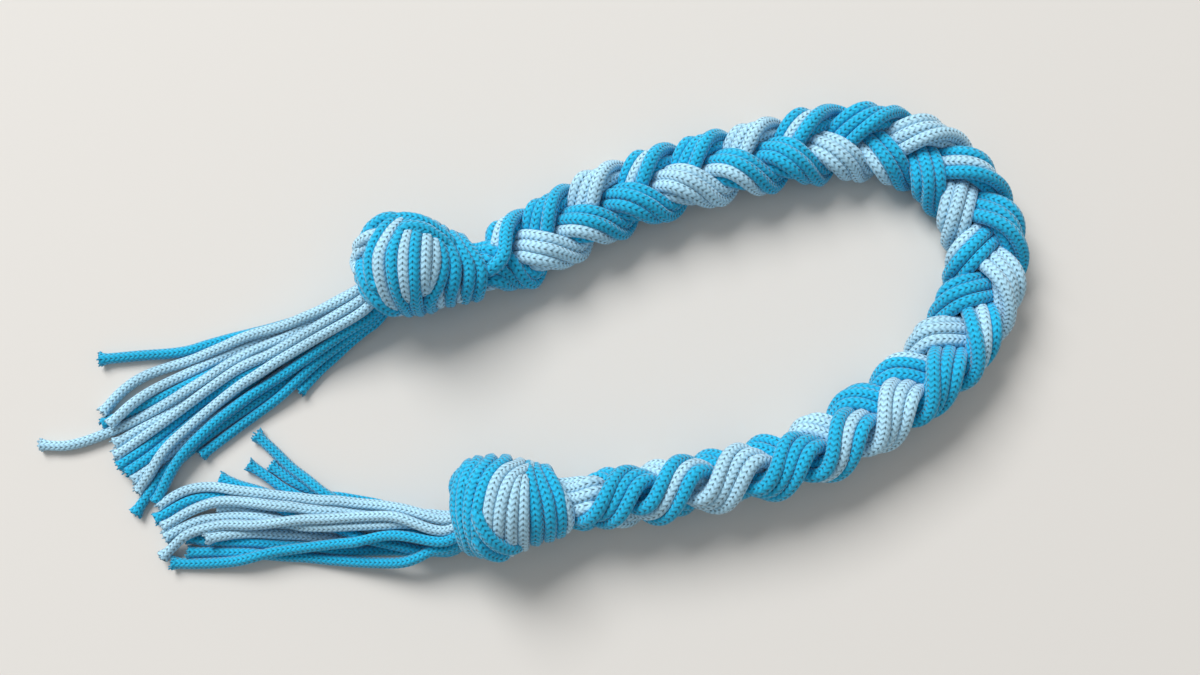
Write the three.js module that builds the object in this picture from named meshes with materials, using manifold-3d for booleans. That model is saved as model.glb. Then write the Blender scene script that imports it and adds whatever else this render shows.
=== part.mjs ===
// Rope dog toy: fifteen knitted cords in two blues, plaited in three strands of five,
// knotted near each end and left loose past the knots as two tassels.
// Millimetres, +Z up, lying on the plane z = 0 with the origin under the middle of its box.
import * as THREE from 'three';
import { mergeVertices } from 'three/addons/utils/BufferGeometryUtils.js';
import Module from 'manifold-3d';

const wasm = await Module();
wasm.setup();

// The cord: as it lies free in a tassel, and as the plait and the knots press it
const CORD_DIAMETER = 4.6;
const PRESSED_DIAMETER = 4.4;
const CORD_GAP = 0.5;
const SEAT_DEPTH = 0.7;

// The plait: three strands of five cords, each a row of three over a row of two
const STRAND_ROW_COUNTS = [3, 2];
const ROW_SHARE = 0.87;
const PLAIT_REPEAT = 70;
const PLAIT_SWING = 10.5;
const PLAIT_RISE = 6.2;
const RISE_LAG_SHARE = 1 / 8;
const FIRST_CROSSING = 33;
const NECK_LENGTH = 20;
const PLAIT_STEP = 7.2;

// The middle of the lying toy's box, counted from the same point as every route below
const BOX_MIDDLE = [1.2, -0.5];

// Where the middle of the plait lies, from the first knot round the bend to the second
const PLAIT_ROUTE = [
  [-22, 25], [-4, 35], [31, 55], [70, 68], [106, 77], [141, 82], [173, 72], [191, 46],
  [193, 30], [190, 14], [171, -16], [141, -39], [111, -56], [73, -66], [40, -72], [17, -75],
];
// How far it has rolled on that line, in degrees, at shares of its length: a little outwards
// before the bend, and up onto its inner edge before the second knot
const ROLLS = [[0, -10], [0.1, -14], [0.26, -26], [0.38, 14], [0.56, 14], [0.7, 50], [0.88, 82], [1, 86]];

// The knots: a barrel of wraps round the cords, thick at the tassel and thin at the plait
const FIRST_WRAP_DISTANCE = 4.2;
const NECK_EASE = 0.9;
const BARREL_RADIUS = 22.5;
const MOUTH_DRAW = 4.5;
const BARREL_PEAK = 0.62;
const WRAP_STEPS = 12;
const SEAM_ANGLE = THREE.MathUtils.degToRad(26);
const SEAM_START = THREE.MathUtils.degToRad(40);
const CORE_STEPS = 4;
const INNER_CORDS = 4;
const MOUTH_GAP = 0.4;

// The tassels: the rows of tails in a knot's mouth from the top down, and the tubes' steps
const MOUTH_ROW_COUNTS = [3, 4, 4, 4];
const ROOT_RUN = 5;
const TAIL_STEP = 13;
const LEAST_TAIL_STEPS = 3;
const LYING_SHARE = 0.8;
const TAIL_SIDES = 8;
const TUBE_SIDES = 5;

// How the laid cords are eased apart, a little in each round, and how far a step may stretch
const EASE_ROUNDS = 200;
const PART_ROUNDS = 300;
const EASE_SHARE = 0.3;
const DROP_STEP = 0.03;
const STEP_STRETCH = 1.3;

// Two steps count as parallel below this slope, and points this near weld into one
const PARALLEL_SLOPE = 1e-9;
const HALFWAY = 0.5;
const WELD_DISTANCE = 1e-4;

// The colour of each cord of a strand
const STRANDS = {
  one: ['cyan', 'cyan', 'cyan', 'cyan', 'cyan'],
  two: ['pale', 'pale', 'pale', 'pale', 'pale'],
  three: ['cyan', 'pale', 'cyan', 'pale', 'cyan'],
};
// Where each knot starts, which way it points, and its wraps' colours and turns from the plait
const KNOTS = {
  a: {
    neck: [-22, 25],
    heading: THREE.MathUtils.degToRad(186),
    wraps: [['cyan', 4], ['pale', 1], ['cyan', 1], ['pale', 1], ['cyan', 1], ['pale', 1], ['cyan', 1]],
  },
  b: {
    neck: [17, -75],
    heading: THREE.MathUtils.degToRad(184),
    wraps: [['pale', 1], ['cyan', 2], ['pale', 3], ['cyan', 3]],
  },
};
// Each tail's colour and the points it passes on its way to its cut end,
// in the order of the places in the mouth: row by row, from the far side to the near side
const TAILS = {
  a: [
    ['pale', [[-104, 1], [-127, -4], [-145, -12], [-169, -22], [-178, -30], [-184, -39]]],
    ['pale', [[-97, -3], [-117, -14], [-133, -21], [-156, -38], [-167, -48], [-179, -55]]],
    ['pale', [[-97, -6], [-117, -16], [-131, -25], [-155, -47], [-162, -58], [-167, -69]]],
    ['pale', [[-103, -1], [-122, -11], [-137, -17], [-166, -31], [-182, -41]]],
    ['pale', [[-102, -4], [-124, -13], [-141, -23], [-176, -41], [-200, -50], [-212, -50]]],
    ['pale', [[-100, -5], [-121, -17], [-140, -27], [-158, -40], [-179, -51]]],
    ['cyan', [[-104, -17], [-125, -29.5], [-142, -42.5], [-157, -57], [-165, -72]]],
    ['cyan', [[-104, 1], [-127, -7], [-147, -13], [-173, -13], [-189, -13]]],
    ['cyan', [[-100, -5], [-128, -16], [-153, -28], [-174, -36], [-186, -41]]],
    ['cyan', [[-98, -7], [-121, -20], [-144, -33], [-164, -50], [-178, -59]]],
    ['cyan', [[-99, -12], [-115, -23.5], [-130, -36.5], [-146, -51]]],
    ['cyan', [[-97, -8], [-121, -23], [-142, -36], [-160, -52], [-173, -63]]],
    ['pale', [[-97, -9], [-120, -23], [-140, -39], [-158, -55], [-170, -66]]],
    ['cyan', [[-96, -10], [-119, -26], [-141, -42], [-157, -58], [-170, -79]]],
    ['cyan', [[-90, -8], [-104, -24.5]]],
  ],
  b: [
    ['pale', [[-58, -80.5], [-72, -79.5], [-91, -77.5], [-103, -75.5], [-114, -73.5], [-125, -71.5],
              [-136, -70.5], [-147, -72], [-159, -78.5]]],
    ['pale', [[-57, -81], [-85, -81], [-119, -84], [-134, -85], [-145, -88], [-157, -97]]],
    ['cyan', [[-57, -86.5], [-75, -88.5], [-92, -90], [-114, -92.5], [-130, -96.5], [-146, -99],
              [-153, -99.5]]],
    ['pale', [[-57, -82], [-83, -81], [-104, -78.5], [-121, -75], [-133, -74], [-144, -77], [-157, -84]]],
    ['pale', [[-57, -83.5], [-83, -82], [-105, -79.5], [-132, -79], [-144, -81.5], [-156.5, -86.5]]],
    ['cyan', [[-57, -84], [-87, -80.5], [-108, -76.5], [-121, -73.5], [-129, -70.5], [-135, -66]]],
    ['cyan', [[-53, -98], [-69, -97.5], [-85, -95.5], [-100, -93], [-115, -91.5], [-130, -91.5],
              [-147, -93]]],
    ['cyan', [[-57, -83.5], [-72, -82.5], [-85, -80], [-92, -77], [-100, -71], [-107, -63.5],
              [-113.5, -54.5], [-120, -46]]],
    ['pale', [[-57, -84], [-82, -83], [-108, -80], [-129, -80], [-145, -84]]],
    ['pale', [[-57, -85], [-82, -83], [-103, -82.5], [-118, -84], [-130, -86.5], [-140, -89.5]]],
    ['cyan', [[-57, -91], [-82, -84], [-108, -78], [-129, -73], [-146, -74], [-160, -82]]],
    ['cyan', [[-57, -85], [-81, -82], [-98, -76.5], [-107, -71.5], [-113.5, -65.5], [-122.5, -58.5]]],
    ['cyan', [[-57, -84.5], [-80, -81.5], [-96, -76], [-106, -68], [-114, -60]]],
    ['pale', [[-57, -85.5], [-82, -82], [-103, -79.5], [-124, -78.5], [-141, -81]]],
    ['cyan', [[-60, -93], [-75, -92], [-95, -89.5], [-120, -88], [-153, -90]]],
  ],
};

const UP = new THREE.Vector3(0, 0, 1);
const onSurface = ([x, y]) => new THREE.Vector3(x - BOX_MIDDLE[0], y - BOX_MIDDLE[1], 0);
const turns = (count) => count * 2 * Math.PI;
const smooth = (value, from, to) => THREE.MathUtils.smoothstep(value, from, to);

const MATERIALS = {
  cyan: new THREE.MeshStandardMaterial({ color: 0x2aaad8, roughness: 0.9, metalness: 0 }),
  pale: new THREE.MeshStandardMaterial({ color: 0xa0cbe8, roughness: 0.9, metalness: 0 }),
};

// A knot's own axes: along it from the plait to the tassel, across it, and its length
function knotFrame(knot) {
  const neck = onSurface(knot.neck);
  const along = new THREE.Vector3(Math.cos(knot.heading), Math.sin(knot.heading), 0);
  const across = along.clone().cross(UP);
  const turnCount = knot.wraps.reduce((total, [, count]) => total + count, 0);
  const length = FIRST_WRAP_DISTANCE + turnCount * CORD_SPACING + PRESSED_DIAMETER / 2;
  return { neck, along, across, length };
}

// A point at a distance along a knot, to one side and at a height
function inKnot(frame, distance, side, height) {
  const point = frame.neck.clone().addScaledVector(frame.along, distance);
  return point.addScaledVector(frame.across, side).setZ(height);
}

// The radii of the two rings of cords in a knot's core: a ring round a few in the middle
const CORD_SPACING = PRESSED_DIAMETER + CORD_GAP;
const STRAND_COUNT = Object.keys(STRANDS).length;
const CORD_COUNT = Object.values(STRANDS).flat().length;
const ringRadius = (count) => CORD_SPACING / 2 / Math.sin(Math.PI / count);
const INNER_RING = ringRadius(INNER_CORDS);
const OUTER_RING = Math.max(INNER_RING + CORD_SPACING * ROW_SHARE, ringRadius(CORD_COUNT - INNER_CORDS));

// The barrel fits round the core at the neck, and the core lies level from there
const NECK_RADIUS = OUTER_RING + PRESSED_DIAMETER / 2 + NECK_EASE + PRESSED_DIAMETER;
const CORE_HEIGHT = NECK_RADIUS - SEAT_DEPTH;

// The barrel's outer radius: it swells from the neck to its peak and draws in at the mouth
function barrelRadius(share) {
  if (share < BARREL_PEAK) {
    return THREE.MathUtils.lerp(NECK_RADIUS, BARREL_RADIUS, smooth(share, 0, BARREL_PEAK));
  }
  const past = (share - BARREL_PEAK) / (1 - BARREL_PEAK);
  return BARREL_RADIUS - MOUTH_DRAW * past * past;
}

// The wraps of one knot: turns that follow one another along the barrel, parted low on the far side
function knotWraps(knot) {
  const frame = knotFrame(knot);
  const made = [];
  let turn = 0;
  for (const [colour, count] of knot.wraps) {
    const steps = count * WRAP_STEPS;
    const points = [];
    for (let step = 0; step <= steps; step += 1) {
      const angle = SEAM_START + THREE.MathUtils.lerp(0, turns(count) - SEAM_ANGLE, step / steps);
      const distance = FIRST_WRAP_DISTANCE + (turn + angle / turns(1)) * CORD_SPACING;
      const outer = barrelRadius(distance / frame.length);
      const radius = outer - PRESSED_DIAMETER / 2;
      const height = outer - SEAT_DEPTH - radius * Math.cos(angle);
      points.push(inKnot(frame, distance, radius * Math.sin(angle), height));
    }
    made.push({ colour, points });
    turn += count;
  }
  return made;
}

// The places of a strand's cords round its own middle: sideways and outwards, in rows
function strandPlaces() {
  const places = [];
  STRAND_ROW_COUNTS.forEach((count, row) => {
    for (let index = 0; index < count; index += 1) {
      const side = (index - (count - 1) / 2) * CORD_SPACING;
      const out = ((STRAND_ROW_COUNTS.length - 1) / 2 - row) * CORD_SPACING * ROW_SHARE;
      places.push([side, out]);
    }
  });
  return places;
}

// The plait's middle line, level with the surface
const plaitRoute = new THREE.CatmullRomCurve3(PLAIT_ROUTE.map(onSurface));
const plaitLength = plaitRoute.getLength();

// The plait's roll at a share of its length, easing from each given value to the next
function rollAt(share) {
  let roll = ROLLS[0][1];
  for (let index = 1; index < ROLLS.length; index += 1) {
    const [[from, before], [to, after]] = ROLLS.slice(index - 1);
    roll += (after - before) * smooth(share, from, to);
  }
  return THREE.MathUtils.degToRad(roll);
}

// The plait's middle, its sideways axis and its upward axis at a share of its length
function plaitFrame(share) {
  const roll = rollAt(share);
  const left = UP.clone().cross(plaitRoute.getTangentAt(share));
  const side = left.clone().multiplyScalar(Math.cos(roll)).addScaledVector(UP, Math.sin(roll));
  const rise = UP.clone().multiplyScalar(Math.cos(roll)).addScaledVector(left, -Math.sin(roll));
  const flat = PLAIT_RISE + PRESSED_DIAMETER;
  const edge = PLAIT_SWING + PRESSED_DIAMETER;
  const height = Math.hypot(flat * Math.cos(roll), edge * Math.sin(roll));
  return { middle: plaitRoute.getPointAt(share).setZ(height), side, rise };
}

// One cord's run through the plait: its strand swings from side to side once in a repeat,
// rises twice, and turns over at the edges
function plaitPoint(strand, place, share) {
  const frame = plaitFrame(share);
  const travelled = share * plaitLength - FIRST_CROSSING;
  const phase = turns(travelled / PLAIT_REPEAT + RISE_LAG_SHARE - strand / STRAND_COUNT);
  const lean = turns(Math.cos(phase)) / 4;
  const [sideways, outwards] = place;
  const swing = PLAIT_SWING * Math.sin(phase) + outwards * Math.cos(lean) - sideways * Math.sin(lean);
  const rise = PLAIT_RISE * Math.sin(2 * phase) + outwards * Math.sin(lean) + sideways * Math.cos(lean);
  return frame.middle.addScaledVector(frame.side, swing).addScaledVector(frame.rise, rise);
}

// The places of the cords in a knot's core, those of the inner ring first
function corePlaces() {
  const places = [];
  const rings = [[INNER_RING, INNER_CORDS], [OUTER_RING, CORD_COUNT - INNER_CORDS]];
  for (const [radius, count] of rings) {
    for (let index = 0; index < count; index += 1) {
      const angle = turns(index / count) - Math.PI;
      places.push([radius * Math.cos(angle), radius * Math.sin(angle)]);
    }
  }
  return places;
}

// Gives each cord the core place that its way out of the plait at one end leads to
function shareOutCore(knot, share, starts) {
  const { across } = knotFrame(knot);
  const { middle } = plaitFrame(share);
  const places = corePlaces();
  const seen = starts.map((start, index) => {
    const offset = start.clone().sub(middle);
    const side = offset.dot(across);
    return { index, reach: Math.hypot(side, offset.z), angle: Math.atan2(offset.z, side) };
  });
  seen.sort((one, other) => one.reach - other.reach);
  const byAngle = (one, other) => one.angle - other.angle;
  const inner = seen.slice(0, INNER_CORDS).sort(byAngle);
  const outer = seen.slice(INNER_CORDS).sort(byAngle);
  const shared = [];
  [...inner, ...outer].forEach((cord, order) => {
    shared[cord.index] = places[order];
  });
  return shared;
}

// A cord's run through a knot's core, from the neck to just short of the mouth
function coreRun(knot, [side, up]) {
  const frame = knotFrame(knot);
  const points = [];
  for (let step = 0; step <= CORE_STEPS; step += 1) {
    const distance = (step / CORE_STEPS) * (frame.length - MOUTH_GAP);
    points.push(inKnot(frame, distance, side, CORE_HEIGHT + up));
  }
  return points;
}

// A cord's place beside the plait's middle line where the plait draws together at a knot
function neckPoint(knot, [side, up], share) {
  const point = plaitRoute.getPointAt(share);
  return point.addScaledVector(knotFrame(knot).across, side).setZ(CORE_HEIGHT + up);
}

// The two nearest places on two straight steps, as shares of each, and the way between them
function nearest(p, q, r, s) {
  const first = q.clone().sub(p);
  const second = s.clone().sub(r);
  const between = p.clone().sub(r);
  const a = first.lengthSq();
  const b = first.dot(second);
  const c = second.lengthSq();
  const d = first.dot(between);
  const e = second.dot(between);
  const clamp = (value) => THREE.MathUtils.clamp(value, 0, 1);
  const slope = a * c - b * b;
  let along = slope > PARALLEL_SLOPE ? clamp((b * e - c * d) / slope) : HALFWAY;
  const beside = clamp((b * along + e) / c);
  along = clamp((b * beside - d) / a);
  between.addScaledVector(first, along).addScaledVector(second, -beside);
  return { along, beside, between };
}

// Calls back for every pair of steps of two cords that may be closer than the reach
function closePairs(cords, reach, visit) {
  for (let one = 0; one < cords.length; one += 1) {
    for (let other = one + 1; other < cords.length; other += 1) {
      const { points: mine, step: myStep } = cords[one];
      const { points: theirs, step: theirStep } = cords[other];
      const far = (reach + (myStep + theirStep) / 2) ** 2;
      for (let i = 1; i < mine.length; i += 1) {
        for (let j = 1; j < theirs.length; j += 1) {
          const x = mine[i].x + mine[i - 1].x - theirs[j].x - theirs[j - 1].x;
          const y = mine[i].y + mine[i - 1].y - theirs[j].y - theirs[j - 1].y;
          const z = mine[i].z + mine[i - 1].z - theirs[j].z - theirs[j - 1].z;
          if (x * x + y * y + z * z < 4 * far) {
            visit(cords[one], i, cords[other], j);
          }
        }
      }
    }
  }
}

// Moves the two ends of a step so that the place between them goes the given way
function shift(cord, index, share, way, distance) {
  const weights = [1 - share, share];
  const scale = distance / (weights[0] ** 2 + weights[1] ** 2);
  weights.forEach((weight, end) => {
    const at = index - 1 + end;
    if (!cord.held[at]) {
      cord.points[at].addScaledVector(way, weight * scale);
    }
  });
}

// One round of parting: steps that are too close move half of the shortfall each
function partOnce(cords, reach) {
  closePairs(cords, reach, (one, i, other, j) => {
    const link = nearest(one.points[i - 1], one.points[i], other.points[j - 1], other.points[j]);
    const gap = link.between.length();
    if (gap < reach && gap > 0) {
      const way = link.between.divideScalar(gap);
      shift(one, i, link.along, way, (reach - gap) / 2);
      shift(other, j, link.beside, way, (gap - reach) / 2);
    }
  });
}

// Spreads each cord's moves along it, so that it bends gently away from the route it was laid on
function easeOnce(cords) {
  for (const { points, laid, held } of cords) {
    const moves = points.map((point, index) => point.clone().sub(laid[index]));
    for (let index = 1; index < points.length - 1; index += 1) {
      if (!held[index]) {
        const mean = moves[index - 1].clone().add(moves[index + 1]).divideScalar(2);
        points[index].addScaledVector(mean.sub(moves[index]), EASE_SHARE);
      }
    }
  }
}

// Lets the cords down by a step, and holds them up at the lowest height of their middles
function dropOnce(cords, step, lowest) {
  for (const { points, held } of cords) {
    points.forEach((point, index) => {
      if (!held[index]) {
        point.z = Math.max(lowest, point.z - step);
      }
    });
  }
}

// Settles cords that were laid through one another until they lie side by side
function settle(cords, diameter, lowest, drop) {
  const reach = diameter + CORD_GAP;
  for (let round = 0; round < EASE_ROUNDS; round += 1) {
    easeOnce(cords);
    partOnce(cords, reach);
    dropOnce(cords, drop, lowest);
  }
  for (let round = 0; round < PART_ROUNDS; round += 1) {
    partOnce(cords, reach);
    dropOnce(cords, 0, lowest);
  }
}

// A cord ready to be settled: its points, where they were laid, and which of them are held
function laidCord(points, isHeld) {
  const steps = points.slice(1).map((point, index) => point.distanceTo(points[index]));
  return {
    points,
    laid: points.map((point) => point.clone()),
    held: points.map((point, index) => isHeld(index)),
    step: Math.max(...steps) * STEP_STRETCH,
  };
}

// The fifteen cords between the two mouths
function plaitCords() {
  const shares = Math.round(plaitLength / PLAIT_STEP);
  const places = strandPlaces();
  const runs = [];
  Object.entries(STRANDS).forEach(([name, colours], strand) => {
    colours.forEach((colour, index) => {
      const points = [];
      for (let step = 0; step <= shares; step += 1) {
        points.push(plaitPoint(strand, places[index], step / shares));
      }
      runs.push({ name: `plait_${name}_${index + 1}_${colour}`, colour, points });
    });
  });
  const neck = NECK_LENGTH / plaitLength;
  const coreA = shareOutCore(KNOTS.a, 0, runs.map((run) => run.points[0]));
  const coreB = shareOutCore(KNOTS.b, 1, runs.map((run) => run.points.at(-1)));
  return runs.map((run, index) => {
    const before = coreRun(KNOTS.a, coreA[index]).reverse();
    const after = coreRun(KNOTS.b, coreB[index]);
    const plait = run.points.map((point, step) => {
      const share = step / shares;
      const fromA = 1 - smooth(share, 0, neck);
      const fromB = smooth(share, 1 - neck, 1);
      point.lerp(neckPoint(KNOTS.a, coreA[index], share), fromA);
      return point.lerp(neckPoint(KNOTS.b, coreB[index], share), fromB);
    });
    const points = [...before, ...plait.slice(1, -1), ...after];
    const last = points.length - 1 - CORE_STEPS;
    return { ...run, ...laidCord(points, (step) => step <= CORE_STEPS || step >= last) };
  });
}

// The tails of one tassel, fanned out from the rows of its knot's mouth
function tasselTails(key) {
  const frame = knotFrame(KNOTS[key]);
  const spacing = CORD_DIAMETER + CORD_GAP;
  const tails = [];
  MOUTH_ROW_COUNTS.forEach((count, row) => {
    for (let place = 0; place < count; place += 1) {
      const [colour, route] = TAILS[key][tails.length];
      const side = ((count - 1) / 2 - place) * spacing;
      const lift = (MOUTH_ROW_COUNTS.length - 1 - row) * spacing;
      const root = CORD_DIAMETER / 2 + lift;
      const start = frame.length + MOUTH_GAP;
      const leaving = inKnot(frame, start + ROOT_RUN, side, 0);
      const curve = new THREE.CatmullRomCurve3([leaving, ...route.map(onSurface)]);
      const steps = Math.max(LEAST_TAIL_STEPS, Math.round(curve.getLength() / TAIL_STEP));
      const points = curve.getSpacedPoints(steps);
      points.forEach((point, step) => {
        point.z = THREE.MathUtils.lerp(root, CORD_DIAMETER / 2, smooth(step / steps, 0, LYING_SHARE));
      });
      points.unshift(inKnot(frame, start, side, root));
      const name = `tail_${key}_${String(tails.length + 1).padStart(2, '0')}_${colour}`;
      tails.push({ name, colour, ...laidCord(points, (step) => step <= 1) });
    }
  });
  return tails;
}

// A smooth curve whose equal shares are its own points, so that a tube's rings stand on them
class CordRoute extends THREE.CatmullRomCurve3 {
  getPointAt(share, target) {
    return this.getPoint(share, target);
  }

  getTangentAt(share, target) {
    return this.getTangent(share, target);
  }
}

// A closed tube along a cord's points
function tube(points, diameter, sides) {
  const route = new CordRoute(points);
  const ring = new THREE.EllipseCurve(0, 0, diameter / 2, diameter / 2).getPoints(sides).slice(0, -1);
  const options = { steps: points.length - 1, extrudePath: route, bevelEnabled: false };
  return new THREE.ExtrudeGeometry(new THREE.Shape(ring), options);
}

// Cuts a tube flat where it presses on the surface
function seated(geometry) {
  return fromSolid(toSolid(geometry).trimByPlane(UP.toArray(), 0));
}

function toSolid(geometry) {
  const bare = geometry.clone();
  bare.deleteAttribute('normal');
  bare.deleteAttribute('uv');
  const merged = mergeVertices(bare, WELD_DISTANCE);
  const vertProperties = new Float32Array(merged.attributes.position.array);
  const triVerts = new Uint32Array(merged.index.array);
  return new wasm.Manifold(new wasm.Mesh({ numProp: 3, vertProperties, triVerts }));
}

function fromSolid(solid) {
  const mesh = solid.getMesh();
  const geometry = new THREE.BufferGeometry();
  geometry.setAttribute('position', new THREE.BufferAttribute(mesh.vertProperties, 3));
  geometry.setIndex(new THREE.BufferAttribute(mesh.triVerts, 1));
  geometry.computeVertexNormals();
  return geometry;
}

// The least clear space between one turn of a winding and the next, measured on its points
function leastOwnGap(points, diameter) {
  let least = Infinity;
  points.forEach((point, index) => {
    for (const later of points.slice(index + WRAP_STEPS / 2)) {
      least = Math.min(least, point.distanceTo(later) - diameter);
    }
  });
  return least;
}

// The least clear space between any two cords of a set, measured along their middles
function leastGap(cords, diameter) {
  let least = Infinity;
  closePairs(cords, diameter + CORD_GAP, (one, i, other, j) => {
    const link = nearest(one.points[i - 1], one.points[i], other.points[j - 1], other.points[j]);
    least = Math.min(least, link.between.length() - diameter);
  });
  return least;
}

const toy = new THREE.Group();
function addPiece(name, colour, geometry) {
  const mesh = new THREE.Mesh(geometry, MATERIALS[colour]);
  mesh.name = name;
  toy.add(mesh);
}

const cords = plaitCords();
settle(cords, PRESSED_DIAMETER, PRESSED_DIAMETER / 2 - SEAT_DEPTH, 0);
for (const cord of cords) {
  addPiece(cord.name, cord.colour, seated(tube(cord.points, PRESSED_DIAMETER, TUBE_SIDES)));
}
console.log(`least gap between plaited cords ${leastGap(cords, PRESSED_DIAMETER).toFixed(2)} mm`);

const wrapGaps = [];
for (const key of Object.keys(KNOTS)) {
  knotWraps(KNOTS[key]).forEach(({ colour, points }, index) => {
    const name = `wrap_${key}_${index + 1}_${colour}`;
    addPiece(name, colour, seated(tube(points, PRESSED_DIAMETER, TUBE_SIDES)));
    wrapGaps.push(leastOwnGap(points, PRESSED_DIAMETER));
  });
}
console.log(`least gap between turns of a wrap ${Math.min(...wrapGaps).toFixed(2)} mm`);

const tails = [...tasselTails('a'), ...tasselTails('b')];
settle(tails, CORD_DIAMETER, CORD_DIAMETER / 2, DROP_STEP);
for (const tail of tails) {
  addPiece(tail.name, tail.colour, tube(tail.points, CORD_DIAMETER, TAIL_SIDES));
}
console.log(`least gap between tails ${leastGap(tails, CORD_DIAMETER).toFixed(2)} mm`);

export default toy;
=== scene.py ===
# %% [markdown]
# # A plaited rope toy of knitted cord
# The real toy is fifteen lengths of soft knitted cord in two blues. They are plaited in three
# strands, knotted near both ends, and cut off past the knots as two tassels. Every visible
# piece is therefore a cord, and this lesson lays, settles, presses and dresses cords.
# It starts by loading the solid model, so that each cord lies where its solid lies.

# %% Load the solid model
import math

import bpy
import numpy as np
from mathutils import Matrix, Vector, kdtree


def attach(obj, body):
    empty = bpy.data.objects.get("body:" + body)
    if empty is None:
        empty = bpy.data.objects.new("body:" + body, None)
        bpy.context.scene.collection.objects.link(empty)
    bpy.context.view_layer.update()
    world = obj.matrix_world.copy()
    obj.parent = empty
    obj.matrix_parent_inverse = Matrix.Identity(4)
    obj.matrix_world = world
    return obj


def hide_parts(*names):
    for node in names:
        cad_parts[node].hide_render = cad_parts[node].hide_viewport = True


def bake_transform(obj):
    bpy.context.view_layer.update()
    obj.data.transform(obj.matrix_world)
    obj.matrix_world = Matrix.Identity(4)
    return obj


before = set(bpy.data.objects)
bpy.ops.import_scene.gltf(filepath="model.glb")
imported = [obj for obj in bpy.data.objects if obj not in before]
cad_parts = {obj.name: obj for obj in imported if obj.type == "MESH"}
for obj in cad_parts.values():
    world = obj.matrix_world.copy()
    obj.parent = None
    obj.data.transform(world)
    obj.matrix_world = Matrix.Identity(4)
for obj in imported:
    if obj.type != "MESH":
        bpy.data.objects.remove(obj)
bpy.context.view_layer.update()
MM = 0.001

# %% [markdown]
# ## The camera
# The photograph looks almost straight down on the toy, from about half a metre, with a wide
# lens. A camera can be aimed with a constraint, but two angles and a distance are enough here
# and leave nothing live in the file.

# %% Camera
CAMERA_AIM = Vector((25.5, -2.5, 0)) * MM
CAMERA_DISTANCE = 560 * MM
CAMERA_ELEVATION = math.radians(80)
CAMERA_HALF_WIDTH = math.radians(25)
CAMERA_SENSOR = 36
CAMERA_NEAREST = 10 * MM

back = Vector((0, -math.cos(CAMERA_ELEVATION), math.sin(CAMERA_ELEVATION)))
bpy.ops.object.select_all(action="DESELECT")
bpy.ops.object.camera_add(
    location=CAMERA_AIM + back * CAMERA_DISTANCE,
    rotation=(math.pi / 2 - CAMERA_ELEVATION, 0, 0),
)
camera = bpy.context.object
camera.data.sensor_width = CAMERA_SENSOR
camera.data.lens = CAMERA_SENSOR / 2 / math.tan(CAMERA_HALF_WIDTH)
camera.data.clip_start = CAMERA_NEAREST
bpy.context.scene.camera = camera
print("lens of", round(camera.data.lens, 1), "mm")

# %% [markdown]
# ## The cord and its routes
# A knitted cord of this kind is about 5 mm thick and very soft, so in the plait and in the
# knots it is pressed a little closer than that. The routes are the ones that the solid model
# follows: the middle of the plait, and for each tail the places it passes on the table. They
# are written in millimetres as they were measured, and one function turns them into metres
# round the middle of the toy's box.

# %% Cord sizes and routes
CORD = 4.6 * MM
CORD_SPACING = 4.9 * MM
LOWEST_MIDDLE = CORD / 2
BOX_MIDDLE = (1.2, -0.5)
CURVE_SAMPLES = 24
PLAIT_STEP = 2.4 * MM

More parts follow.
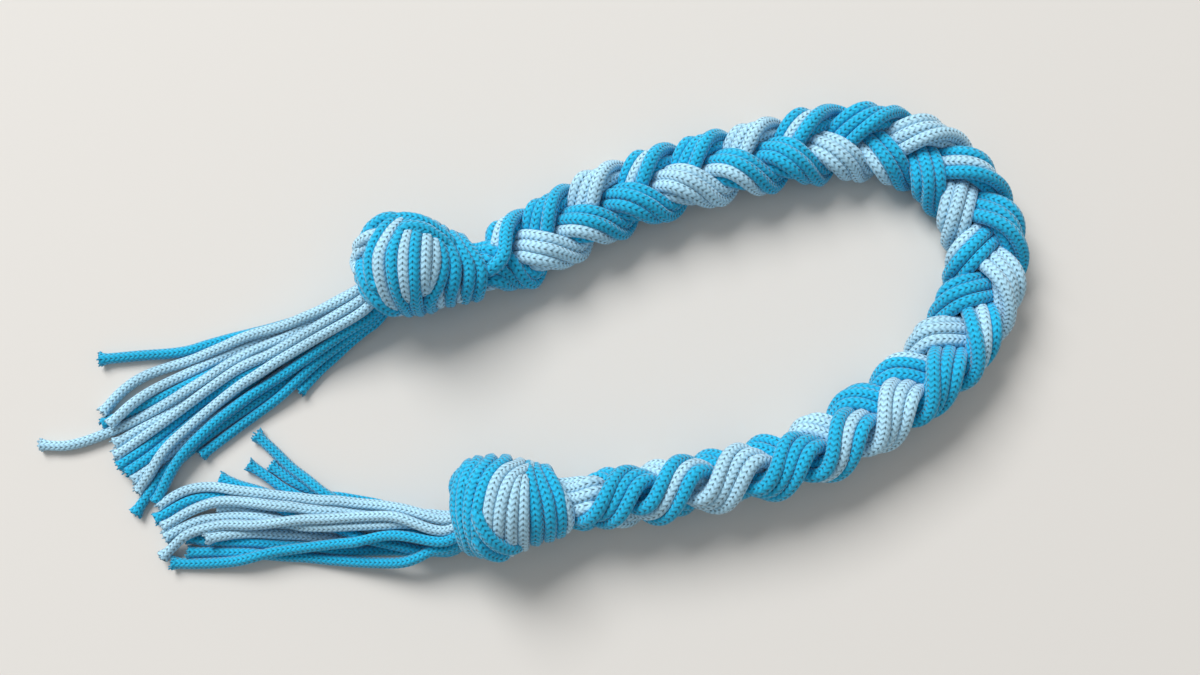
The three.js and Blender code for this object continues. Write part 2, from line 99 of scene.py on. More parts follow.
PLAIT_ROUTE = [
    (-22, 25), (-4, 35), (31, 55), (70, 68), (106, 77), (141, 82), (173, 72), (191, 46),
    (193, 30), (190, 14), (171, -16), (141, -39), (111, -56), (73, -66), (40, -72), (17, -75),
]
TAIL_ROUTES = {
    "a": [
        ("pale", [(-104, 1), (-127, -4), (-145, -12), (-169, -22), (-178, -30), (-184, -39)]),
        ("pale", [(-97, -3), (-117, -14), (-133, -21), (-156, -38), (-167, -48), (-179, -55)]),
        ("pale", [(-97, -6), (-117, -16), (-131, -25), (-155, -47), (-162, -58), (-167, -69)]),
        ("pale", [(-103, -1), (-122, -11), (-137, -17), (-166, -31), (-182, -41)]),
        ("pale", [(-102, -4), (-124, -13), (-141, -23), (-176, -41), (-200, -50), (-212, -50)]),
        ("pale", [(-100, -5), (-121, -17), (-140, -27), (-158, -40), (-179, -51)]),
        ("cyan", [(-104, -17), (-125, -29.5), (-142, -42.5), (-157, -57), (-165, -72)]),
        ("cyan", [(-104, 1), (-127, -7), (-147, -13), (-173, -13), (-189, -13)]),
        ("cyan", [(-100, -5), (-128, -16), (-153, -28), (-174, -36), (-186, -41)]),
        ("cyan", [(-98, -7), (-121, -20), (-144, -33), (-164, -50), (-178, -59)]),
        ("cyan", [(-99, -12), (-115, -23.5), (-130, -36.5), (-146, -51)]),
        ("cyan", [(-97, -8), (-121, -23), (-142, -36), (-160, -52), (-173, -63)]),
        ("pale", [(-97, -9), (-120, -23), (-140, -39), (-158, -55), (-170, -66)]),
        ("cyan", [(-96, -10), (-119, -26), (-141, -42), (-157, -58), (-170, -79)]),
        ("cyan", [(-90, -8), (-104, -24.5)]),
    ],
    "b": [
        ("pale", [(-58, -80.5), (-72, -79.5), (-91, -77.5), (-103, -75.5), (-114, -73.5),
                  (-125, -71.5), (-136, -70.5), (-147, -72), (-159, -78.5)]),
        ("pale", [(-57, -81), (-85, -81), (-119, -84), (-134, -85), (-145, -88), (-157, -97)]),
        ("cyan", [(-57, -86.5), (-75, -88.5), (-92, -90), (-114, -92.5), (-130, -96.5), (-146, -99),
                  (-153, -99.5)]),
        ("pale", [(-57, -82), (-83, -81), (-104, -78.5), (-121, -75), (-133, -74), (-144, -77),
                  (-157, -84)]),
        ("pale", [(-57, -83.5), (-83, -82), (-105, -79.5), (-132, -79), (-144, -81.5),
                  (-156.5, -86.5)]),
        ("cyan", [(-57, -84), (-87, -80.5), (-108, -76.5), (-121, -73.5), (-129, -70.5),
                  (-135, -66)]),
        ("cyan", [(-53, -98), (-69, -97.5), (-85, -95.5), (-100, -93), (-115, -91.5), (-130, -91.5),
                  (-147, -93)]),
        ("cyan", [(-57, -83.5), (-72, -82.5), (-85, -80), (-92, -77), (-100, -71), (-107, -63.5),
                  (-113.5, -54.5), (-120, -46)]),
        ("pale", [(-57, -84), (-82, -83), (-108, -80), (-129, -80), (-145, -84)]),
        ("pale", [(-57, -85), (-82, -83), (-103, -82.5), (-118, -84), (-130, -86.5),
                  (-140, -89.5)]),
        ("cyan", [(-57, -91), (-82, -84), (-108, -78), (-129, -73), (-146, -74), (-160, -82)]),
        ("cyan", [(-57, -85), (-81, -82), (-98, -76.5), (-107, -71.5), (-113.5, -65.5),
                  (-122.5, -58.5)]),
        ("cyan", [(-57, -84.5), (-80, -81.5), (-96, -76), (-106, -68), (-114, -60)]),
        ("pale", [(-57, -85.5), (-82, -82), (-103, -79.5), (-124, -78.5), (-141, -81)]),
        ("cyan", [(-60, -93), (-75, -92), (-95, -89.5), (-120, -88), (-153, -90)]),
    ],
}


def on_table(points):
    """Given places in millimetres as points in metres on the table top."""
    places = (np.array(points, float) - BOX_MIDDLE) * MM
    return np.column_stack([places, np.zeros(len(places))])


def evenly(line, spacing):
    """The same line as points that are all about one spacing apart."""
    run = np.concatenate([[0], np.cumsum(np.linalg.norm(np.diff(line, axis=0), axis=1))])
    marks = np.linspace(0, run[-1], max(2, round(run[-1] / spacing) + 1))
    return np.column_stack([np.interp(marks, run, line[:, axis]) for axis in range(line.shape[1])])


def smooth_line(points, spacing):
    """A smooth curve through the points that bends no further than it has to."""
    points = np.array(points, float)
    before, after = 2 * points[0] - points[1], 2 * points[-1] - points[-2]
    padded = np.vstack([before, points, after])
    share = np.linspace(0, 1, CURVE_SAMPLES, endpoint=False)[:, None]
    runs = []
    for a, b, c, d in zip(padded, padded[1:], padded[2:], padded[3:]):
        first, mid, last = (math.sqrt(np.linalg.norm(q - p)) for p, q in ((a, b), (b, c), (c, d)))
        leave = ((b - a) / first - (c - a) / (first + mid) + (c - b) / mid) * mid
        arrive = ((c - b) / mid - (d - b) / (mid + last) + (d - c) / last) * mid
        square, cube = 3 * (c - b) - 2 * leave - arrive, 2 * (b - c) + leave + arrive
        runs.append(b + leave * share + square * share**2 + cube * share**3)
    return evenly(np.vstack([*runs, points[-1:]]), spacing)


plait_middle = smooth_line(on_table(PLAIT_ROUTE), PLAIT_STEP)
plait_run = np.linalg.norm(np.diff(plait_middle, axis=0), axis=1).sum()
print("the plait's middle is", round(plait_run / MM), "mm long")

# %% [markdown]
# ## How soft cords settle
# A physics engine could drop the cords on the table, but forty-five soft bodies are slow and
# never quite repeat. A cord's contact is simple enough to write down: two cords can't come
# closer than one thickness, a cord bends gently, and the table stops it. The cords are laid
# through one another first, and then, in many small rounds, parted where they are too close,
# eased along their length, and let down. In the last quarter of the rounds they are only
# parted, so that nothing is left touching.

# %% Settling
NEAR_ROUNDS = 12
NEAR_REACH = 1.5
EASE_PASSES = 2
EASE_SHARE = 0.5
PART_ONLY = 0.25
LEAST_GAP = 1e-9


def close_pairs(points, cord, reach):
    """The pairs of points of different cords that are closer than the reach."""
    first, second = [], []
    for number in range(cord.max()):
        mine = np.flatnonzero(cord == number)
        later = np.flatnonzero(cord > number)
        offset = points[mine][:, None] - points[later][None]
        near = np.nonzero(np.einsum("ijk,ijk->ij", offset, offset) < reach * reach)
        first.append(mine[near[0]])
        second.append(later[near[1]])
    return np.concatenate(first), np.concatenate(second)


def part(points, free, pairs, reach):
    """Moves points that are too close apart, each by its share of what is missing."""
    one, other = pairs
    way = points[one] - points[other]
    gap = np.linalg.norm(way, axis=1)
    short = np.clip(reach - gap, 0, None) / 2
    push = way / np.maximum(gap, LEAST_GAP)[:, None] * short[:, None]
    both, moves = np.concatenate([one, other]), np.vstack([push, -push])
    touches = np.bincount(both, np.concatenate([short, short]) > 0, len(points))
    for axis in range(3):
        total = np.bincount(both, moves[:, axis], len(points))
        points[:, axis] += free * total / np.maximum(touches, 1)


def ease(points, laid, free, inner):
    """Spreads each cord's moves along it, so that it bends gently away from where it was laid."""
    for _ in range(EASE_PASSES):
        moves = points - laid
        mean = (moves[inner - 1] + moves[inner + 1]) / 2
        points[inner] += EASE_SHARE * free[inner, None] * (mean - moves[inner])


def settle(lines, held, reach, rounds, drop):
    """Settles laid cords. As many points at a cord's start and end as held says don't move."""
    cord = np.repeat(np.arange(len(lines)), [len(line) for line in lines])
    place = np.concatenate([np.arange(len(line)) for line in lines])
    last = np.array([len(line) - 1 for line in lines])[cord]
    start, end = np.array(held)[cord].T
    free = ((place >= start) & (place <= last - end)).astype(float)
    inner = np.flatnonzero((place > 0) & (place < last))
    points = np.vstack(lines).copy()
    laid = points.copy()
    for turn in range(rounds):
        if turn % NEAR_ROUNDS == 0:
            pairs = close_pairs(points, cord, reach * NEAR_REACH)
        left = 1 - turn / rounds
        if left > PART_ONLY:
            ease(points, laid, free, inner)
            points[:, 2] -= free * drop * left
        part(points, free, pairs, reach)
        points[:, 2] = np.where(free > 0, np.maximum(points[:, 2], LOWEST_MIDDLE), points[:, 2])
    return [points[cord == number] for number in range(len(lines))]


print("cords settle at", round(CORD_SPACING / MM, 1), "mm from middle to middle")

# %% [markdown]
# ## The plait
# In a three-strand plait each strand swings from edge to edge once in a repeat and passes over
# the middle twice, a third of a repeat behind the strand before it. A strand is five cords, a
# row of three over a row of two, and the bundle turns over as it goes round each edge. The real
# plait also rolls as it lies: the upper leg leans a little one way, and beyond the bend the
# plait has turned up onto its edge. So its frame rolls along the route, by the degrees that a
# table gives for shares of its length. Near a knot the strands draw together into a round bundle.

# %% Plait
STRANDS = {
    "one": ["cyan", "cyan", "cyan", "cyan", "cyan"],
    "two": ["pale", "pale", "pale", "pale", "pale"],
    "three": ["cyan", "pale", "cyan", "pale", "cyan"],
}
STRAND_ROWS = (3, 2)
ROW_SHARE = 0.87
PLAIT_REPEAT = 70 * MM
PLAIT_SWING = 10.5 * MM
PLAIT_RISE = 6.2 * MM
FIRST_CROSSING = 33 * MM
CROSSING_PHASE = 1 / 8
ROLLS = [(0, -10), (0.1, -14), (0.26, -26), (0.38, 14), (0.56, 14), (0.7, 50), (0.88, 82), (1, 86)]
NECK_LENGTH = 15 * MM
NECK_HEIGHT = 15.5 * MM
NECK_DEPTH = 5
NECK_HEADINGS = {"a": math.radians(186), "b": math.radians(184)}
INNER_RING, OUTER_RING, INNER_CORDS = 3.2 * MM, 7.6 * MM, 4
PLAIT_ROUNDS = 420
up = np.array([0, 0, 1.0])


def smooth_step(value, start, end):
    """Goes from 0 at start to 1 at end, gently at both."""
    share = np.clip((value - start) / (end - start), 0, 1)
    return share * share * (3 - 2 * share)


def level_frame(heading):
    """Two level directions: along a heading, and across it to the right."""
    along = np.array([math.cos(heading), math.sin(heading), 0])
    return along, np.cross(along, up)


def strand_places():
    """Where a strand's cords lie round its own middle: sideways and outwards."""
    places = []
    for row, count in enumerate(STRAND_ROWS):
        for index in range(count):
            out = (0.5 - row) * CORD_SPACING * ROW_SHARE
            places.append(((index - (count - 1) / 2) * CORD_SPACING, out))
    return places


shares = np.linspace(0, 1, len(plait_middle))
forward = np.gradient(plait_middle, axis=0)
forward /= np.linalg.norm(forward, axis=1)[:, None]
left = np.column_stack([-forward[:, 1], forward[:, 0], np.zeros(len(forward))])
roll = np.full(len(shares), float(ROLLS[0][1]))
for (start, before), (end, after) in zip(ROLLS, ROLLS[1:]):
    roll += (after - before) * smooth_step(shares, start, end)
roll = np.radians(roll)[:, None]
side = left * np.cos(roll) + up * np.sin(roll)
rise = up * np.cos(roll) - left * np.sin(roll)
flat, edge = PLAIT_RISE + CORD_SPACING, PLAIT_SWING + CORD_SPACING
middle = plait_middle + up * np.hypot(flat * np.cos(roll), edge * np.sin(roll))


def plait_line(strand, sideways, outwards):
    """One cord's run through the plait."""
    repeats = (shares * plait_run - FIRST_CROSSING) / PLAIT_REPEAT
    phase = 2 * math.pi * (repeats + CROSSING_PHASE - strand / len(STRANDS))
    lean = math.pi / 2 * np.cos(phase)
    swings = PLAIT_SWING * np.sin(phase) + outwards * np.cos(lean) - sideways * np.sin(lean)
    rises = PLAIT_RISE * np.sin(2 * phase) + outwards * np.sin(lean) + sideways * np.cos(lean)
    return middle + side * swings[:, None] + rise * rises[:, None]


def share_out_neck(starts, neck, across):
    """Gives each cord the place in the round bundle that its way out of the plait leads to."""
    offset = np.array(starts) - neck
    sideways = offset @ across
    order = np.argsort(np.hypot(sideways, offset[:, 2]))
    angle = np.arctan2(offset[:, 2], sideways)
    places = np.zeros((len(starts), 2))
    rings = ((INNER_RING, order[:INNER_CORDS]), (OUTER_RING, order[INNER_CORDS:]))
    for radius, members in rings:
        members = members[np.argsort(angle[members])]
        turn = 2 * math.pi * np.arange(len(members)) / len(members) - math.pi
        places[members] = radius * np.column_stack([np.cos(turn), np.sin(turn)])
    return places


laid = [plait_line(strand, *place) for strand in range(len(STRANDS)) for place in strand_places()]
step = plait_run / (len(shares) - 1)
into = {}
for key, at, pull in (
    ("a", 0, 1 - smooth_step(shares, 0, NECK_LENGTH / plait_run)),
    ("b", -1, smooth_step(shares, 1 - NECK_LENGTH / plait_run, 1)),
):
    along, across = level_frame(NECK_HEADINGS[key])
    places = share_out_neck([line[at] for line in laid], middle[at], across)
    for number, (sideways, height) in enumerate(places):
        drawn = plait_middle + across * sideways + up * (NECK_HEIGHT + height)
        laid[number] = laid[number] + (drawn - laid[number]) * pull[:, None]
    into[key] = along * step * np.arange(1, NECK_DEPTH + 1)[:, None]
lines = [np.vstack([line[0] + into["a"][::-1], line, line[-1] + into["b"]]) for line in laid]
ends = [(NECK_DEPTH + 1, NECK_DEPTH + 1)] * len(lines)
plait_lines = settle(lines, ends, CORD_SPACING, PLAIT_ROUNDS, drop=0)
print("settled", len(plait_lines), "plaited cords")

# %% [markdown]
# ## The tails
# Past each knot the fifteen cords come out in four rows and fan out over the table. Each tail
# starts near the middle of the knot, slopes down to the knot's mouth and comes down on the
# route that the photograph shows. The rows start above one another, so that settling stacks
# them in the right order: the tails of the upper rows end up lying over the lower ones.

# %% Tails
KNOT_MOUTHS = {
    "a": {"middle": (-73.5, 7.5), "heading": math.radians(209), "lean": 0.15, "inside": (-56, 23)},
    "b": {"middle": (-35, -88.5), "heading": math.radians(178), "lean": 0.15, "inside": (-19, -78)},
}
MOUTH_ROWS = (3, 4, 4, 4)
TAIL_SPACING = 4.5 * MM
ROOT_SPACING = 4.4 * MM
ROOT_RUN = 6 * MM
ROOT_LIFT = 3.5 * MM
ROOT_RISE = 8 * MM
ROOT_DRAW = 0.4
LYING_SHARE = 0.8
STACK_SHARE = 0.4
TAIL_STEP = 2.6 * MM
TAIL_DROP = 0.06 * MM
TAIL_ROUNDS = 500


def lay_tails(key):
    """The tails of one tassel as lines, and how many points of each the knot holds."""
    mouth = KNOT_MOUTHS[key]
    along, across = level_frame(mouth["heading"])
    inside, start = on_table([mouth["inside"], mouth["middle"]])
    made = []
    for row, count in enumerate(MOUTH_ROWS):
        for place in range(count):
            lift = (len(MOUTH_ROWS) - 1 - row) * ROOT_SPACING
            sideways = across * (((count - 1) / 2 - place) * ROOT_SPACING + lift * mouth["lean"])
            routed = on_table(TAIL_ROUTES[key][len(made)][1])
            root, out = inside + sideways * ROOT_DRAW, start + sideways
            line = smooth_line([root, out, out + along * ROOT_RUN, *routed], TAIL_STEP)
            share = np.linspace(0, 1, len(line))
            hidden = (np.linalg.norm(out - root) + ROOT_RUN) / TAIL_STEP / len(line)
            down = smooth_step(share, hidden, hidden + (1 - hidden) * LYING_SHARE)
            rise = ROOT_LIFT * (1 - down) + ROOT_RISE * (1 - smooth_step(share, 0, hidden))
            line[:, 2] = LOWEST_MIDDLE + lift * (1 - (1 - STACK_SHARE) * down) + rise
            made.append((line, (round(hidden * len(line)), 0)))
    return made


tail_lines = {}
for key in TAIL_ROUTES:
    tails, held = zip(*lay_tails(key))
    tail_lines[key] = settle(list(tails), list(held), TAIL_SPACING, TAIL_ROUNDS, TAIL_DROP)
    print("tassel", key, "settled,", len(tails), "tails up to",
          round(max(line[-1, 2] for line in tail_lines[key]) / MM, 1), "mm high at their ends")

# %% [markdown]
# ## The knots
# A knot in so thick a bundle looks like a pear of wraps: thin where the plait goes in, thick
# where the tassel comes out. A wrap could be drawn point by point, but it is easier to read as
# five distances along the knot, taken from its far side over the crown to its near side, on a
# pear of known thickness. Its two ends go round underneath and dive inside. Turns that run
# along the knot, or show for a part of the way only, are given as runs of places: each place is
# a distance along the knot, an angle round it and a height over the other wraps. Turns that
# fold over the round end have an angle and a reach. A winding one layer down fills the knot,
# so that it isn't hollow between its wraps. All of this is in millimetres and degrees.

# %% Knot tables
KNOTS = {
    "a": {
        "neck": (-22.5, 22.6),
        "heading": math.radians(177),
        "height": 21.8,
        "pear": [(-2, 11), (3, 12.6), (9, 14.4), (14, 15.8), (19, 17.8), (23, 19.8), (27, 21),
                 (32, 21.4), (37, 21.2), (42, 20.2), (47, 17.6), (51, 13.4), (54, 8.6), (56, 4)],
        "wraps": {
            "wrap_a_1_cyan": [[11, 6.2, 1.2, 0.6, 1.8], [14, 10, 5.6, 5.2, 6.8],
                              [18.4, 15, 11.2, 11.2, 13.2], [21.6, 19, 15.6, 17, 21.4]],
            "wrap_a_2_pale": [],
            "wrap_a_3_cyan": [[25.5, 27, 26.8, 26.4, 26.4]],
            "wrap_a_4_pale": [],
            "wrap_a_5_cyan": [[29.6, 32.6, 35.2, 34.2, 31.2]],
            "wrap_a_6_pale": [[31.6, 36.4, 40.6, 39.8, 36.4]],
            "wrap_a_7_cyan": [[36, 41.2, 45, 44.2, 40]],
        },
        "runs": {
            "wrap_a_2_pale": [
                [(23, 25, -4), (22, 42, -0.8), (19.8, 65, 0), (18.8, 90, 0.3), (19.4, 112, 0),
                 (21.4, 135, -1.2), (23, 155, -5)],
                [(23.8, 25, -4), (23.6, 42, -0.8), (22.9, 65, 0), (22.5, 90, 0.3), (22.6, 112, 0),
                 (23, 135, -1.2), (23.4, 155, -5)],
                [(9.4, 146, -4), (9.3, 163, -1.2), (9.3, 182, -0.6), (9.4, 205, -4)],
                [(17.6, 146, -4), (17.6, 163, -1), (17.8, 182, -0.4), (17.8, 205, -4)],
            ],
            "wrap_a_4_pale": [[(28, -30, -3), (28, 0, -0.5), (28, 20, 0), (30, 55, 0),
                               (30.8, 90, 0), (30.3, 120, 0), (29.5, 145, -0.6), (29, 162, -3),
                               (28.8, 180, -6)]],
            "wrap_a_5_cyan": [[(12, 66, -4), (16, 57, 0.6), (21, 53, 1.6), (27, 52, 1.6),
                               (31.5, 55, 1), (35, 66, -3)]],
            "wrap_a_6_pale": [[(47, 62, -3), (51, 70, -0.5), (53, 84, 0), (53, 100, 0),
                               (51, 116, -0.5), (48, 126, -3)]],
            "wrap_a_7_cyan": [
                [(11, 60, -4), (14.5, 50, 0.6), (19, 43, 1.6), (25, 38, 1.8), (31, 34, 1.6),
                 (36, 30, 0.6), (40, 26, -4)],
                [(33, 28, -4), (37, 30, 0.8), (42, 34, 1.8), (47, 42, 1.4), (50.5, 50, -1),
                 (51.5, 58, -5)],
                [(50.5, 100, -4), (49.5, 115, -0.5), (47.2, 130, 1.2), (44, 145, 2), (40, 160, 2.2),
                 (36, 175, 1), (33, 192, -4)],
            ],
        },
        "folds": {
            "wrap_a_7_cyan": [(20, 45), (132, 47), (-30, 46), (165, 46), (232, 45)],
            "wrap_a_6_pale": [(60, 49), (-75, 46), (198, 46)],
        },
        "core": {"wrap_a_1_cyan": (7, 24), "wrap_a_7_cyan": (24, 52)},
    },
    "b": {
        "neck": (16.5, -74.6),
        "heading": math.radians(183.5),
        "height": 21.2,
        "pear": [(-2, 10.5), (2, 12), (6, 13.8), (11, 15.4), (16, 16.4), (21, 18.2), (27, 20.2),
                 (32, 20.8), (38, 20.6), (43, 19.2), (47, 16.2), (50, 11.6), (53, 6)],
        "wraps": {
            "wrap_b_1_pale": [],
            "wrap_b_2_cyan": [[11.5, 8.4, 6.2, 5.9, 6.8], [15.5, 13.4, 10.9, 10.4, 11.2],
                              [18.6, 17.4, 16, 15.8, 16.8]],
            "wrap_b_3_pale": [],
            "wrap_b_4_cyan": [[27.6, 33.6, 37.6, 39.2, 36.4], [33.6, 38.6, 41.2, 41.8, 40],
                              [39, 43, 44.6, 44, 43], [42.6, 45.8, 47.2, 46, 44.8]],
        },
        "runs": {
            "wrap_b_1_pale": [[(8.5, 62, -4), (6.4, 78, -1), (4.4, 98, 0), (3.6, 120, 0),
                               (3.8, 145, 0), (5, 170, -0.5), (7, 200, -4)]],
            "wrap_b_3_pale": [
                [(22, -100, -4), (21, -40, 0), (17.6, 20, 0), (24.6, 55, 0), (29, 90, 0),
                 (31, 124, 0), (31.2, 146, -2), (31, 163, -5)],
                [(30, -100, -4), (25, -40, 0), (22, 20, 0), (29.8, 55, 0), (33.6, 90, 0),
                 (34.8, 122, 0), (34.6, 142, -2), (34, 160, -5)],
                [(19, 34, -4), (19.8, 50, -1), (20.4, 70, 0), (20.9, 95, 0), (21.6, 125, 0),
                 (22.4, 165, 0), (22.4, 220, 0), (22, 260, -3)],
                [(19, 20, -4), (21, 42, -1.5), (22.8, 60, -0.3), (24.8, 90, 0), (26.2, 125, 0),
                 (27, 165, 0), (27, 220, 0), (26, 260, -3)],
            ],
            "wrap_b_4_cyan": [[(40, 88, -4), (38.4, 102, 0.6), (36.4, 118, 2), (33.4, 132, 2.6),
                               (29.4, 146, 2.4), (25, 160, 1), (21, 178, -4)],
                              [(41, 120, -3), (39.5, 135, 0.5), (37.5, 150, 1.5), (34.5, 163, 2),
                               (30.5, 175, 1.5), (27, 192, -3)]],
        },
        "folds": {
            "wrap_b_4_cyan": [(30, 45), (62, 44), (-25, 46), (128, 42), (160, 43), (225, 45)],
            "wrap_b_3_pale": [(-70, 46), (192, 45)],
        },
        "core": {"wrap_b_2_cyan": (7, 20), "wrap_b_4_cyan": (20, 49)},
    },
}
print("knot tables:", {key: len(knot["wraps"]) for key, knot in KNOTS.items()}, "pieces")

# %% Places in a knot
SEEN_ANGLES = (20, 55, 90, 125, 165)
ANGLES_BEFORE, ANGLES_AFTER = (-105, -40), (220, 285)
DIVE = 4
END_SHIFT = 2.2
WRAP_SINK = 2.4
WRAP_STEP, RUN_STEP = 1.5, 1.0
FOLD_GIRTH_AT = -8
FOLD = [(-16, 1, -9), (-9, 1, -3.6), (-2, 0.8, 0), (3.5, 0.5, 0), (1, 0.22, 0), (-8, 0.1, 0)]
CORE_SINK = 5.6
CORE_PITCH = 5.6
CORE_STEP = 12
CORE_SAMPLES = 60
LEAST_CORE = 2.6


def pear_radius(knot, distance):
    """How thick the knot is at a distance along it, from its middle to its surface."""
    at, radius = np.array(knot["pear"], float).T
    return np.interp(distance, at, radius)


def in_knot(knot, distance, degrees, radius):
    """Points of a knot from distances along it, angles round it and radii, in millimetres."""
    along, across = level_frame(knot["heading"])
    level = (knot["height"] + pear_radius(knot, distance)) / 2
    angle = np.radians(degrees)
    offset = (along * distance[:, None] + across * (radius * np.cos(angle))[:, None]
              + up * (level + radius * np.sin(angle))[:, None])
    return on_table([knot["neck"]])[0] + offset * MM


def wrap_line(knot, seen):
    """A turn round the knot from its five distances, with its ends inside."""
    under = (seen[0] + seen[-1]) / 2
    sides = [under - END_SHIFT, (seen[0] + under) / 2, *seen, (seen[-1] + under) / 2,
             under + END_SHIFT]
    angles = [*ANGLES_BEFORE, *SEEN_ANGLES, *ANGLES_AFTER]
    dips = [DIVE, *[0] * (len(angles) - 2), DIVE]
    run = smooth_line(np.column_stack([sides, angles, dips]), WRAP_STEP)
    radius = pear_radius(knot, run[:, 0]) - WRAP_SINK - run[:, 2]
    return in_knot(knot, run[:, 0], run[:, 1], radius)


def run_line(knot, places):
    """A turn that runs over the wraps, from its places."""
    run = smooth_line(places, RUN_STEP)
    radius = pear_radius(knot, run[:, 0]) - WRAP_SINK + run[:, 2]
    return in_knot(knot, run[:, 0], run[:, 1], radius)


def fold_line(knot, degrees, reach):
    """A turn that folds over the round end of the knot and goes back inside."""
    outer = pear_radius(knot, reach + FOLD_GIRTH_AT)
    places = [(reach + ahead, outer * share + less) for ahead, share, less in FOLD]
    run = smooth_line(places, RUN_STEP)
    return in_knot(knot, run[:, 0], np.full(len(run), float(degrees)), run[:, 1])


def core_line(knot, first, last):
    """The turns inside the knot: a winding one layer under the wraps, drawn in at the round end."""
    distance = np.linspace(first, last, CORE_SAMPLES)
    radius = np.maximum(pear_radius(knot, distance) - (WRAP_SINK + CORE_SINK), LEAST_CORE)
    run = np.concatenate([[0], np.cumsum(np.hypot(np.diff(distance), np.diff(radius)))])
    turn = np.arange(0, run[-1] / CORE_PITCH * 360, CORE_STEP)
    at = turn / 360 * CORE_PITCH
    return in_knot(knot, np.interp(at, run, distance), turn, np.interp(at, run, radius))


print("knots are", [2 * max(radius for _, radius in knot["pear"]) for knot in KNOTS.values()],
      "mm thick")

# %% Knots
knot_lines = {}
for knot in KNOTS.values():
    for name, turns in knot["wraps"].items():
        knot_lines[name] = [wrap_line(knot, seen) for seen in turns]
        knot_lines[name] += [run_line(knot, places) for places in knot["runs"].get(name, [])]
        knot_lines[name] += [fold_line(knot, *fold) for fold in knot["folds"].get(name, [])]
        if name in knot["core"]:
            knot_lines[name].append(core_line(knot, *knot["core"][name]))
print("knots:", sum(len(lines) for lines in knot_lines.values()), "turns in",
      len(knot_lines), "pieces")

# %% [markdown]
# ## From lines to knitted tubes
# A bevelled curve would give a smooth round tube, but a knitted cord has six columns of
# stitches that stand out a little, and where two cords press on each other both go flat. So
# each tube is built as rings of points: a third of a stitch apart along the cord, three to a
# column of stitches round it. Then every ring looks for its neighbours and is trimmed halfway
# to each. In the plait and the knots the tubes start thicker than their spacing, so trimming
# presses them flat and leaves the creases that tight cord shows.

# %% Knitted tubes
STITCH = 2.1 * MM
COLUMNS = 6
SIDES = COLUMNS * 3
RING_STEP = STITCH / 3
TUBE_RADIUS = 3.0 * MM
TAIL_RADIUS = 2.15 * MM
COLUMN_HEIGHT = 0.14 * MM
STITCH_HEIGHT = 0.07 * MM
CHEVRON_LAG = 0.25
TWIST = math.radians(0.35) / MM
STEEP = 0.9
MOST_POINTS = 400
DRAW_SEED = 15
draw = np.random.default_rng(DRAW_SEED)


def ring_frames(line):
    """Two directions across each point of a line that turn as little as they can along it."""
    ahead = np.gradient(line, axis=0)
    ahead /= np.linalg.norm(ahead, axis=1)[:, None]
    first = np.cross(ahead[0], (0, 0, 1) if abs(ahead[0, 2]) < STEEP else (1, 0, 0))
    across = [first / np.linalg.norm(first)]
    for way in ahead[1:]:
        turned = across[-1] - way * (across[-1] @ way)
        across.append(turned / np.linalg.norm(turned))
    across = np.array(across)
    return across, np.cross(ahead, across)


def knit_tube(line, thick):
    """The rings of one knitted cord, with their middles and how far along it each lies."""
    soft = line.copy()
    soft[1:-1] = line[:-2] / 4 + line[1:-1] / 2 + line[2:] / 4
    centres = smooth_line(soft[:: max(1, len(soft) // MOST_POINTS)], RING_STEP)
    across, over = ring_frames(centres)
    along = np.arange(len(centres)) * RING_STEP
    twist = draw.uniform(0, 2 * math.pi) + draw.uniform(-TWIST, TWIST) * along
    turn = 2 * math.pi * np.arange(SIDES) / SIDES
    angle = turn[None] + twist[:, None]
    column = np.cos(COLUMNS * turn)
    stitch = np.cos(2 * math.pi * (along[:, None] / STITCH + CHEVRON_LAG * (1 - column)[None]))
    radius = thick + COLUMN_HEIGHT * column[None] + STITCH_HEIGHT * stitch
    spoke = np.cos(angle)[..., None] * across[:, None] + np.sin(angle)[..., None] * over[:, None]
    rings = centres[:, None] + radius[..., None] * spoke
    return {"centres": centres, "along": along, "rings": rings}


plait_names = [f"plait_{name}_{index + 1}_{colour}" for name, colours in STRANDS.items()
               for index, colour in enumerate(colours)]
tail_names = {
    key: [f"tail_{key}_{index + 1:02}_{colour}" for index, (colour, _) in enumerate(routes)]
    for key, routes in TAIL_ROUTES.items()
}
cords = {name: [line] for name, line in zip(plait_names, plait_lines)}
cords.update(knot_lines)
for key, names in tail_names.items():
    cords.update({name: [line] for name, line in zip(names, tail_lines[key])})
tubes = {}
for name, lines in cords.items():
    thick = TAIL_RADIUS if name.startswith("tail") else TUBE_RADIUS
    tubes[name] = [knit_tube(line, thick) for line in lines]
print("tubes:", sum(len(several) for several in tubes.values()), "in", len(tubes), "pieces")

# %% Pressing
PRESS_GAP = 0.06 * MM
LEAST_HALF = 1.1 * MM
PRESS_REACH = 2 * TUBE_RADIUS + 0.4 * MM
SPOT_EVERY = 3


def press(tubes):
    """Trims every ring halfway to the neighbours it presses on, and flat on the table."""
    spots = [(centre, number) for number, tube in enumerate(tubes)
             for centre in tube["centres"][::SPOT_EVERY]]
    tree = kdtree.KDTree(len(spots))
    for index, (centre, _) in enumerate(spots):
        tree.insert(centre, index)
    tree.balance()
    for number, tube in enumerate(tubes):
        for centre, ring in zip(tube["centres"], tube["rings"]):
            nearest = {}
            for spot, index, gap in tree.find_range(centre, PRESS_REACH):
                other = spots[index][1]
                if other != number and gap < nearest.get(other, (None, math.inf))[1]:
                    nearest[other] = (spot, gap)
            for spot, gap in nearest.values():
                if gap > 0:
                    way = (np.array(spot) - centre) / gap
                    over = (ring - centre) @ way - max(gap / 2 - PRESS_GAP, LEAST_HALF)
                    ring -= np.clip(over, 0, None)[:, None] * way
        tube["rings"][..., 2] = np.maximum(tube["rings"][..., 2], 0)


